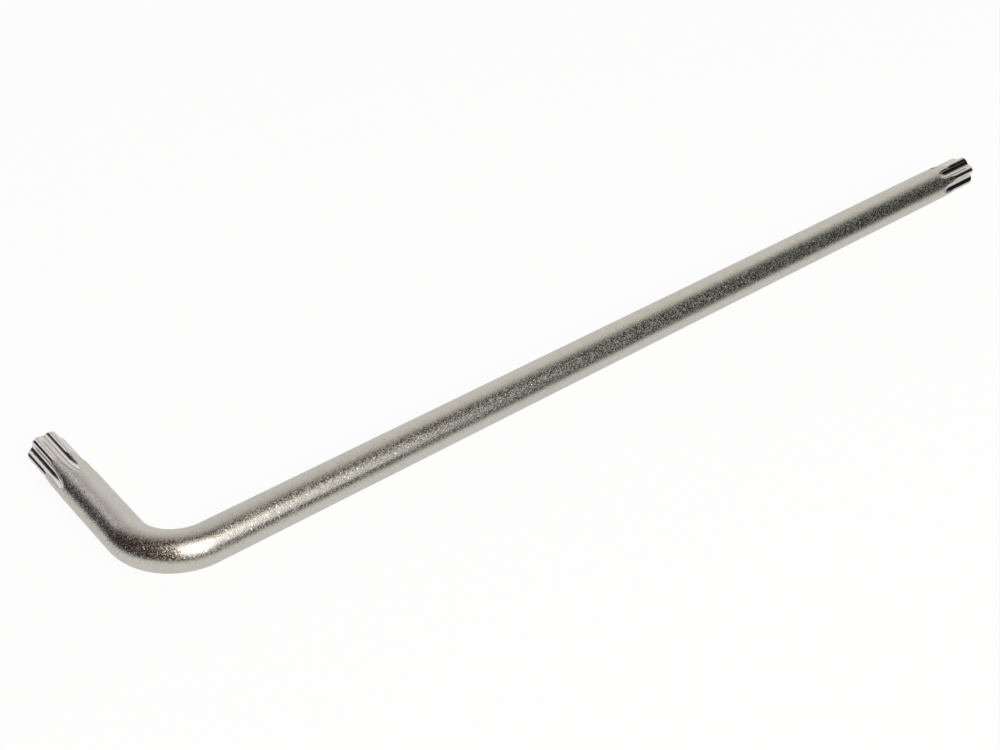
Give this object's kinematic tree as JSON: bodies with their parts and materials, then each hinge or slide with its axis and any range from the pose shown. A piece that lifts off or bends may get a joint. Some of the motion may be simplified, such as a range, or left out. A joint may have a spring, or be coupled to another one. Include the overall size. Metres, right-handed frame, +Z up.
{
  "type": "star key",
  "caption": "L-shaped key bent from round satin-plated steel bar, with a lobed star formed on each end for turning star-recess screws.",
  "frame": {"origin": "centre of the key's outer box, on the surface that the key lies flat on", "axes": "+X along the long arm towards its star, +Y along the short arm towards its star, +Z up from the surface"},
  "size_m": [0.1328, 0.0272, 0.0045],
  "materials": {
    "satin_steel": "satin plating with a fine blasted grain",
    "bright_steel": "bright plating in smooth pressed flutes"
  },
  "bodies": {
    "root": {"long_arm": "satin_steel", "elbow": "satin_steel", "short_arm": "satin_steel", "long_star_tip": "bright_steel", "short_star_tip": "bright_steel"}
  },
  "joints": []
}
